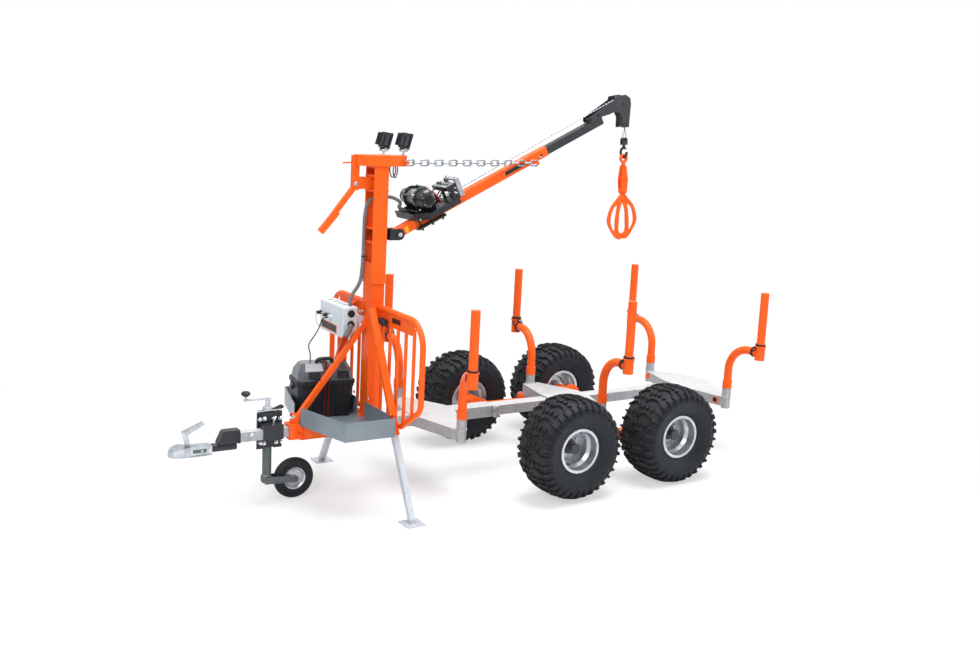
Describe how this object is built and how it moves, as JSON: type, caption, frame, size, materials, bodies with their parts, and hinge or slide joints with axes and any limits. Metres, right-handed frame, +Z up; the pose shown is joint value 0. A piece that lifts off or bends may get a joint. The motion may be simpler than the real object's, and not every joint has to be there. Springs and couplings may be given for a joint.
{
  "type": "forestry trailer",
  "caption": "Four-wheel bogie timber trailer with stakes, a ball coupler, jockey wheel, prop legs and a mast crane with a winch and timber tongs.",
  "frame": {"origin": "centre of the coupler's ball socket", "axes": "+X forward to the towing vehicle, +Y to the trailer's left, +Z up"},
  "size_m": [3.512, 1.436, 2.203],
  "materials": {
    "galvanised": "satin",
    "orange": "gloss",
    "tray_grey": "satin",
    "black_steel": "satin",
    "black_plastic": "matte",
    "white_plastic": "satin",
    "grey_conduit": "satin",
    "tyre_rubber": "matte",
    "silver_rim": "satin"
  },
  "bodies": {
    "chassis": {"main_beam_front": "galvanised", "main_beam_rear": "galvanised", "bunk_front": "galvanised", "bunk_middle": "galvanised", "bunk_rear": "galvanised", "cross_axle": "galvanised", "drawbar": "galvanised", "jockey_tube": "galvanised", "bogie_beams": "orange", "headboard": "orange", "mast": "orange", "mast_braces": "orange", "crane_base": "orange", "battery_tray": "tray_grey", "drawbar_end": "black_steel", "jockey_clamp": "black_steel", "battery_box": "black_plastic", "control_box": "white_plastic", "conduit_mast": "grey_conduit", "box_lead": "grey_conduit"},
    "wheel_front_left": {"tyre_front_left": "tyre_rubber", "rim_front_left": "silver_rim"},
    "wheel_front_right": {"tyre_front_right": "tyre_rubber", "rim_front_right": "silver_rim"},
    "wheel_rear_left": {"tyre_rear_left": "tyre_rubber", "rim_rear_left": "silver_rim"},
    "wheel_rear_right": {"tyre_rear_right": "tyre_rubber", "rim_rear_right": "silver_rim"},
    "stake_front_left_body": {"stake_front_left": "orange"},
    "stake_front_right_body": {"stake_front_right": "orange"},
    "stake_middle_left_body": {"stake_middle_left": "orange"},
    "stake_middle_right_body": {"stake_middle_right": "orange"},
    "stake_rear_left_body": {"stake_rear_left": "orange"},
    "stake_rear_right_body": {"stake_rear_right": "orange"},
    "coupler_swivel": {"coupler": "galvanised"},
    "jockey_leg": {"jockey_slide": "galvanised"},
    "jockey_castor": {"jockey_fork": "galvanised"},
    "jockey_wheel": {"jockey_tyre": "tyre_rubber", "jockey_rim": "silver_rim"},
    "leg_left": {"support_leg_left": "galvanised"},
    "leg_right": {"support_leg_right": "galvanised"},
    "crane_head": {"slew_head": "orange", "work_lamps": "black_plastic", "boom_clevis": "black_steel", "lamp_wires": "grey_conduit"},
    "boom": {"boom_outer": "orange", "boom_inner": "black_steel", "boom_head": "black_steel", "winch_tray": "black_steel", "winch_body": "black_steel", "rope_guide": "black_steel", "winch_rope": "galvanised", "conduit_boom": "grey_conduit"},
    "chain": {"boom_chain": "galvanised"},
    "drum": {"winch_drum": "black_steel"},
    "pulley": {"head_pulley": "black_steel"},
    "hook": {"lifting_hook": "black_steel", "tongs_hanger": "orange"},
    "jaw_front": {"tongs_jaw_front": "orange"},
    "jaw_rear": {"tongs_jaw_rear": "orange"}
  },
  "joints": [
    {"name": "wheel_front_left_spin", "type": "hinge", "parent": "chassis", "child": "wheel_front_left", "pos_m": [-1.966, 0.58, -0.0255], "axis": [0, 1, 0], "continuous": true},
    {"name": "wheel_front_right_spin", "type": "hinge", "parent": "chassis", "child": "wheel_front_right", "pos_m": [-1.966, -0.58, -0.0255], "axis": [0, 1, 0], "continuous": true},
    {"name": "wheel_rear_left_spin", "type": "hinge", "parent": "chassis", "child": "wheel_rear_left", "pos_m": [-2.666, 0.58, -0.0255], "axis": [0, 1, 0], "continuous": true},
    {"name": "wheel_rear_right_spin", "type": "hinge", "parent": "chassis", "child": "wheel_rear_right", "pos_m": [-2.666, -0.58, -0.0255], "axis": [0, 1, 0], "continuous": true},
    {"name": "stake_front_left_swivel", "type": "hinge", "parent": "chassis", "child": "stake_front_left_body", "pos_m": [-1.409, 0.366, 0.128], "axis": [0, 0, 1], "range_deg": [-70, 110]},
    {"name": "stake_front_right_swivel", "type": "hinge", "parent": "chassis", "child": "stake_front_right_body", "pos_m": [-1.409, -0.366, 0.128], "axis": [0, 0, 1], "range_deg": [-81, 99]},
    {"name": "stake_middle_left_swivel", "type": "hinge", "parent": "chassis", "child": "stake_middle_left_body", "pos_m": [-2.339, 0.366, 0.128], "axis": [0, 0, 1], "range_deg": [-90, 90]},
    {"name": "stake_middle_right_swivel", "type": "hinge", "parent": "chassis", "child": "stake_middle_right_body", "pos_m": [-2.339, -0.366, 0.128], "axis": [0, 0, 1], "range_deg": [-90, 90]},
    {"name": "stake_rear_left_swivel", "type": "hinge", "parent": "chassis", "child": "stake_rear_left_body", "pos_m": [-3.307, 0.366, 0.128], "axis": [0, 0, 1], "range_deg": [-90, 90]},
    {"name": "stake_rear_right_swivel", "type": "hinge", "parent": "chassis", "child": "stake_rear_right_body", "pos_m": [-3.307, -0.366, 0.128], "axis": [0, 0, 1], "range_deg": [-90, 90]},
    {"name": "coupler_roll", "type": "hinge", "parent": "chassis", "child": "coupler_swivel", "pos_m": [-0.236, 0, 0.012], "axis": [1, 0, 0], "range_deg": [-90, 90]},
    {"name": "jockey_height", "type": "slide", "parent": "chassis", "child": "jockey_leg", "axis": [0, 0, 1], "range_m": [-0.2, 0]},
    {"name": "jockey_swivel", "type": "hinge", "parent": "jockey_leg", "child": "jockey_castor", "pos_m": [-0.49, -0.061, -0.195], "axis": [0, 0, 1], "continuous": true},
    {"name": "jockey_spin", "type": "hinge", "parent": "jockey_castor", "child": "jockey_wheel", "pos_m": [-0.64, -0.061, -0.2225], "axis": [0, 1, 0], "continuous": true},
    {"name": "leg_left_slide", "type": "slide", "parent": "chassis", "child": "leg_left", "axis": [0, -0.4926, 0.8703], "range_m": [-0.05, 0.15]},
    {"name": "leg_right_slide", "type": "slide", "parent": "chassis", "child": "leg_right", "axis": [0, 0.4926, 0.8703], "range_m": [-0.05, 0.15]},
    {"name": "crane_slew", "type": "hinge", "parent": "chassis", "child": "crane_head", "pos_m": [-1.047, 0, 1.432], "axis": [0, 0, 1], "range_deg": [-30, 30]},
    {"name": "boom_luff", "type": "hinge", "parent": "crane_head", "child": "boom", "pos_m": [-1.173, 0, 1.074], "axis": [0, 1, 0], "range_deg": [0, 15], "deforming": ["conduit_boom", "boom_chain"]},
    {"name": "chain_pivot", "type": "hinge", "parent": "crane_head", "child": "chain", "pos_m": [-1.194, 0.045, 1.457], "axis": [0, 1, 0], "range_deg": [0, 20]},
    {"name": "winch_spin", "type": "hinge", "parent": "boom", "child": "drum", "pos_m": [-1.28995, 0, 1.26715], "axis": [0, 1, 0], "continuous": true},
    {"name": "pulley_spin", "type": "hinge", "parent": "boom", "child": "pulley", "pos_m": [-2.61778, 0, 1.81854], "axis": [0, 1, 0], "continuous": true},
    {"name": "hook_swing", "type": "hinge", "parent": "boom", "child": "hook", "pos_m": [-2.65888, 0, 1.60954], "axis": [0, 1, 0], "range_deg": [-25, 25]},
    {"name": "tongs_front", "type": "hinge", "parent": "hook", "child": "jaw_front", "pos_m": [-2.67471, 0, 1.30735], "axis": [0, 1, 0], "range_deg": [-30, 0]},
    {"name": "tongs_rear", "type": "hinge", "parent": "hook", "child": "jaw_rear", "pos_m": [-2.67471, 0, 1.30735], "axis": [0, 1, 0], "range_deg": [0, 30]}
  ],
  "couplings": [
    {"joint": "chain_pivot", "follows": "boom_luff", "ratio": 1.15},
    {"joint": "tongs_front", "follows": "tongs_rear", "ratio": -1}
  ]
}
